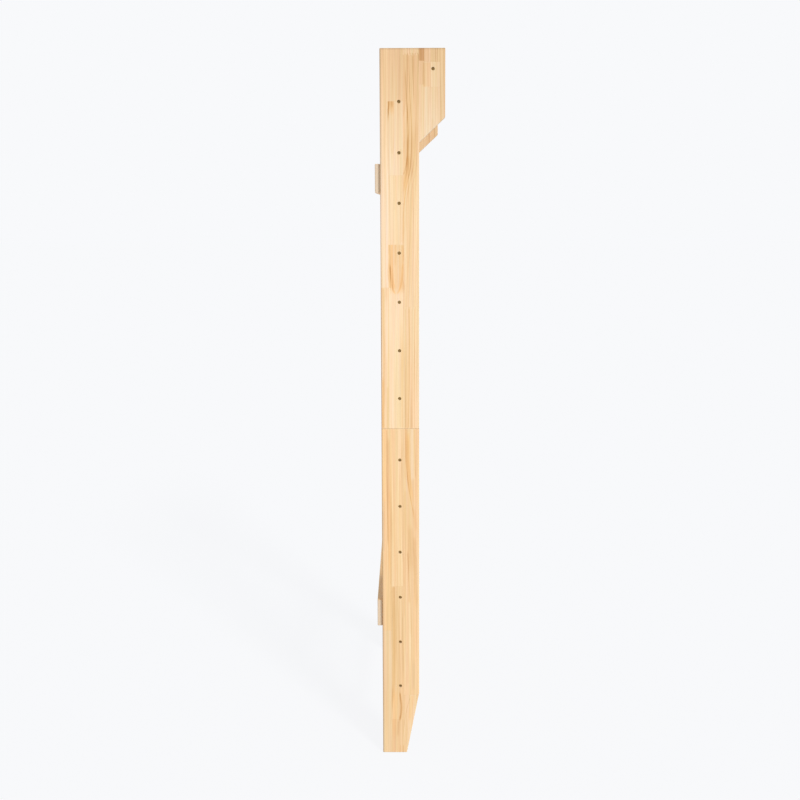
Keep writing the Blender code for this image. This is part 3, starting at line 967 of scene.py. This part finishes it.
def make_rails():
    main_low, main_high = box("left_lower_rail")
    main_depth = main_high.y - main_low.y
    for label, side in SIDES.items():
        low, high = box(f"{label}_lower_rail")
        outer_x, inner_x = (low.x, high.x) if side < 0 else (high.x, low.x)
        cutters = [pocket_cutter(side, inner_x), bore_cutter(side, outer_x), fixing_cutter(label)]
        for part in ("lower", "upper"):
            node = f"{label}_{part}_rail"
            rail = rail_blank(node, main_depth)
            carve(rail, cutters)
            shade(rail)

            def rail_axes(x, y, z):
                return z, high.y - y, x

            streaks = [Streak(*row) for row in STREAKS[node]]
            material = make_pine(node + "_pine", rail_axes, STAVES[node], streaks, outer_x)
            finish_piece(rail, node, material)
        discard(cutters)


# ---------------- rungs

def make_rungs():
    """Oval bars with eased ends and a pilot hole in each end."""
    material = make_beech("rung_beech_detail", lambda x, y, z: (x, y, z), 0)
    hole = RUNG_SCREW["shank_radius"] + CLEARANCE
    hole_floor = box("right_rung_01_screw")[0].x - CLEARANCE
    for number, node in enumerate(RUNG_NODES):
        low, high = box(node)
        half = (high - low) / 2
        eased = (half.y - RUNG_END_CHAMFER, half.z - RUNG_END_CHAMFER)
        right = [
            oval(half.y, half.z, half.x - RUNG_END_CHAMFER),
            oval(*eased, half.x),
            circle(hole, half.x, OVAL_SEGMENTS),
            circle(hole, hole_floor, OVAL_SEGMENTS),
        ]
        left = [[(x, y, -z) for x, y, z in ring] for ring in reversed(right)]
        bm = bmesh.new()
        skin_rings(bm, left + right, face_matrix(1, middle(node)))
        rung = add_object(f"{node}_detail", bm)
        shade(rung)
        finish_piece(rung, node, material, RUNG_SEEDS * (number + 1), middle(node))


# ---------------- fasteners

def thread_rings(screw, start, tip, segments):
    """The rings of a screw's thread, from its tip up to start, where its plain shank begins."""
    step = screw["pitch"] / THREAD_STEPS
    count = int((start - tip) / step)
    depth = screw["shank_radius"] - screw["core_radius"]
    rings = []
    for i in range(count + 1):
        z = tip + (start - tip) * i / count
        taper = min(1.0, TIP_BLUNTNESS + (z - tip) / screw["tip_length"])
        ring = []
        for angle in ring_angles(segments):
            turn = (z / screw["pitch"] - angle / (2 * math.pi)) % 1.0
            ridge = max(0.0, 1.0 - abs(turn - 0.5) * THREAD_STEEPNESS)
            radius = (screw["core_radius"] + depth * ridge) * taper
            ring.append((radius * math.cos(angle), radius * math.sin(angle), z))
        rings.append(ring)
    return rings


def screw_rings(screw, length, countersunk):
    """A whole screw's rings, tip first, with its head's top at z = 0."""
    segments = HIDDEN_SEGMENTS
    shank, head = screw["shank_radius"], screw["head_radius"]
    neck = -screw["head_height"]
    profile = [(shank, HEAD_EASE - screw["plain_length"]), (shank, neck)]
    if countersunk:
        profile += [(head, -HEAD_EASE / 2)]
    else:
        profile += [(head - HEAD_EASE, neck), (head, neck + HEAD_EASE), (head, -HEAD_EASE)]
    profile.append((head - HEAD_EASE, 0.0))
    rings = thread_rings(screw, -screw["plain_length"], -length, segments)
    rings += [circle(radius, z, segments) for radius, z in profile]
    rings.append(hexagon(screw["socket"], 0.0, segments))
    rings.append(hexagon(screw["socket"] * SOCKET_DRAFT, -screw["socket_depth"], segments))
    return rings


def make_screws(material):
    for number, node in enumerate(nodes_named("_screw")):
        low, high = box(node)
        centre = middle(node)
        bm = bmesh.new()
        if "_board_" in node:
            rings = screw_rings(BOARD_SCREW, high.y - low.y, True)
            matrix = along((centre.x, high.y, centre.z), (0, 1, 0))
        else:
            side = 1 if centre.x > 0 else -1
            rings = screw_rings(RUNG_SCREW, high.x - low.x, False)
            head_x = high.x if side > 0 else low.x
            turned = Matrix.Rotation(number * SCREW_TURN, 4, "Z")
            matrix = along((head_x, centre.y, centre.z), (side, 0, 0)) @ turned
        skin_rings(bm, rings, matrix)
        screw = add_object(f"{node}_detail", bm)
        shade(screw)
        finish_piece(screw, node, material, SCREW_SEEDS * number)


def make_dowels():
    """Fluted dowels with chamfered ends."""
    material = make_beech("dowel_beech_detail", lambda x, y, z: (z, x, y), 2)
    for number, node in enumerate(nodes_named("_dowel")):
        low, high = box(node)
        half = (high.z - low.z) / 2
        radius = (high.y - low.y) / 2

        def fluted(shrink, z):
            ring = []
            for i, angle in enumerate(ring_angles(2 * DOWEL_FLUTES)):
                r = radius - shrink - (DOWEL_FLUTE_DEPTH if i % 2 else 0.0)
                ring.append((r * math.cos(angle), r * math.sin(angle), z))
            return ring

        bm = bmesh.new()
        rings = [
            fluted(DOWEL_CHAMFER, -half),
            fluted(0.0, DOWEL_CHAMFER - half),
            fluted(0.0, half - DOWEL_CHAMFER),
            fluted(DOWEL_CHAMFER, half),
        ]
        skin_rings(bm, rings, Matrix.Translation(middle(node)))
        dowel = add_object(f"{node}_detail", bm)
        shade(dowel)
        finish_piece(dowel, node, material, DOWEL_SEEDS * (number + 1), middle(node))


# ---------------- boards

def board_hole_cutter(low, high, screw_nodes):
    """Screw holes sunk from the back at the rails, and wall holes sunk from the front between them."""
    thickness = high.y - low.y
    hole = BOARD_SCREW["shank_radius"] + CLEARANCE
    sink = BOARD_SCREW["head_radius"] + 2 * CLEARANCE
    screw_profile = [
        (hole, -thickness - OVERCUT),
        (hole, -BOARD_SCREW["head_height"] - 2 * CLEARANCE),
        (sink, -CLEARANCE),
        (sink, OVERCUT),
    ]
    wall_profile = [
        (WALL_HOLE_RADIUS, -thickness - OVERCUT),
        (WALL_HOLE_RADIUS, -WALL_HOLE_SINK_DEPTH),
        (WALL_HOLE_SINK_RADIUS, 0.0),
        (WALL_HOLE_SINK_RADIUS + OVERCUT, OVERCUT),
    ]
    bm = bmesh.new()
    for node in screw_nodes:
        centre = middle(node)
        rings = [circle(radius, z, HIDDEN_SEGMENTS) for radius, z in screw_profile]
        skin_rings(bm, rings, along((centre.x, high.y, centre.z), (0, 1, 0)))
    for side in SIDES.values():
        origin = (side * WALL_HOLE_X, low.y, (low.z + high.z) / 2)
        rings = [circle(radius, z, BORE_SEGMENTS) for radius, z in wall_profile]
        skin_rings(bm, rings, along(origin, (0, -1, 0)))
    return add_object("board_hole_cutter", bm)


def make_boards():
    """Pine boards with rounded edges, bored for their own screws and for the wall's."""
    material = make_pine("board_pine_detail", lambda x, y, z: (x + GRAIN_MIDDLE, z, y), end_axis=0)
    for number, node in enumerate(nodes_named("_wall_board")):
        low, high = box(node)
        corners = ((low.x, low.z), (high.x, low.z), (high.x, high.z), (low.x, high.z))
        bm = bmesh.new()
        skin_rings(bm, [[(x, y, z) for x, z in corners] for y in (low.y, high.y)])
        round_edges(bm, bm.edges[:], BOARD_EDGE_RADIUS)
        board = add_object(f"{node}_detail", bm)
        label = node.split("_")[0]
        cutter = board_hole_cutter(low, high, nodes_named(f"{label}_board_", "_screw"))
        carve(board, [cutter])
        discard([cutter])
        shade(board)
        seed = FIRST_BOARD_SEED + BOARD_SEEDS * number
        finish_piece(board, node, material, seed, middle(node))


# ---------------- studio

# The light, matched to the photograph's
BACKDROP = (0.939, 0.947, 0.965)
WORLD_LIGHT = 0.66
FLOOR_ALBEDO = 0.08
FLOOR_GLOW = 0.917
FLOOR_RADIUS = 60.0
KEY_STRENGTH = 1.9
KEY_ANGLE = math.radians(10)
KEY_ELEVATION = math.radians(35)
KEY_TURN = math.radians(28)

# The camera, solved from the photograph's perspective
CAMERA_PLACE = (-4.0252, 0.0071, 1.7687)
CAMERA_PITCH = math.radians(9.465)
CAMERA_YAW = math.radians(-0.395)
CAMERA_ROLL = math.radians(-0.163)
CAMERA_LENS = 52.33


def make_world():
    """Soft light from all round, behind a plain pale backdrop."""
    world = bpy.data.worlds.new("studio")
    bpy.context.scene.world = world
    world.use_nodes = True
    tree = world.node_tree
    seen = tree.nodes["Background"]
    seen.inputs["Color"].default_value = (*BACKDROP, 1.0)
    light = tree.nodes.new("ShaderNodeBackground")
    light.inputs["Color"].default_value = (*BACKDROP, 1.0)
    light.inputs["Strength"].default_value = WORLD_LIGHT
    path = tree.nodes.new("ShaderNodeLightPath")
    mix = tree.nodes.new("ShaderNodeMixShader")
    tree.links.new(path.outputs["Is Camera Ray"], mix.inputs[0])
    tree.links.new(light.outputs[0], mix.inputs[1])
    tree.links.new(seen.outputs[0], mix.inputs[2])
    tree.links.new(mix.outputs[0], tree.nodes["World Output"].inputs["Surface"])


def make_key_light():
    """A large soft lamp in front of the ladder, to the right of the camera and above it."""
    lamp = bpy.data.lights.new("key", "SUN")
    lamp.energy = KEY_STRENGTH
    lamp.angle = KEY_ANGLE
    item = bpy.data.objects.new("key", lamp)
    level = math.cos(KEY_ELEVATION)
    towards = Vector((-level * math.cos(KEY_TURN), -level * math.sin(KEY_TURN), math.sin(KEY_ELEVATION)))
    item.rotation_euler = towards.to_track_quat("Z", "Y").to_euler()
    bpy.context.scene.collection.objects.link(item)


def make_floor():
    """A plain floor that glows a little, as a lit sweep does, so that it meets the backdrop unseen."""
    material, _, shader = new_material("floor_paper")
    shader.inputs["Base Color"].default_value = (FLOOR_ALBEDO, FLOOR_ALBEDO, FLOOR_ALBEDO, 1.0)
    shader.inputs["Roughness"].default_value = 1.0
    shader.inputs["Specular IOR Level"].default_value = 0.0
    shader.inputs["Emission Color"].default_value = (*BACKDROP, 1.0)
    shader.inputs["Emission Strength"].default_value = FLOOR_GLOW
    bm = bmesh.new()
    bm.faces.new([bm.verts.new(spot) for spot in circle(FLOOR_RADIUS, -CLEARANCE, BORE_SEGMENTS)])
    floor = add_object("floor", bm)
    floor.data.materials.append(material)


def make_camera():
    camera = bpy.data.cameras.new("camera")
    camera.lens = CAMERA_LENS
    item = bpy.data.objects.new("camera", camera)
    level = math.cos(CAMERA_PITCH)
    forward = Vector((level * math.cos(CAMERA_YAW), -level * math.sin(CAMERA_YAW), -math.sin(CAMERA_PITCH)))
    right = forward.cross(Vector((0, 0, 1))).normalized()
    turn = Matrix((right, right.cross(forward), -forward)).transposed()
    roll = Matrix.Rotation(CAMERA_ROLL, 4, "Z")
    item.matrix_world = Matrix.Translation(CAMERA_PLACE) @ turn.to_4x4() @ roll
    bpy.context.scene.collection.objects.link(item)
    bpy.context.scene.camera = item


RUNG_NODES = [node for node in nodes_named("rung") if "_screw" not in node]

bpy.context.scene.view_settings.view_transform = "Standard"
make_camera()
make_world()
make_key_light()
make_floor()
make_rails()
make_rungs()
make_boards()
make_screws(make_steel("zinc_steel_detail"))
make_dowels()
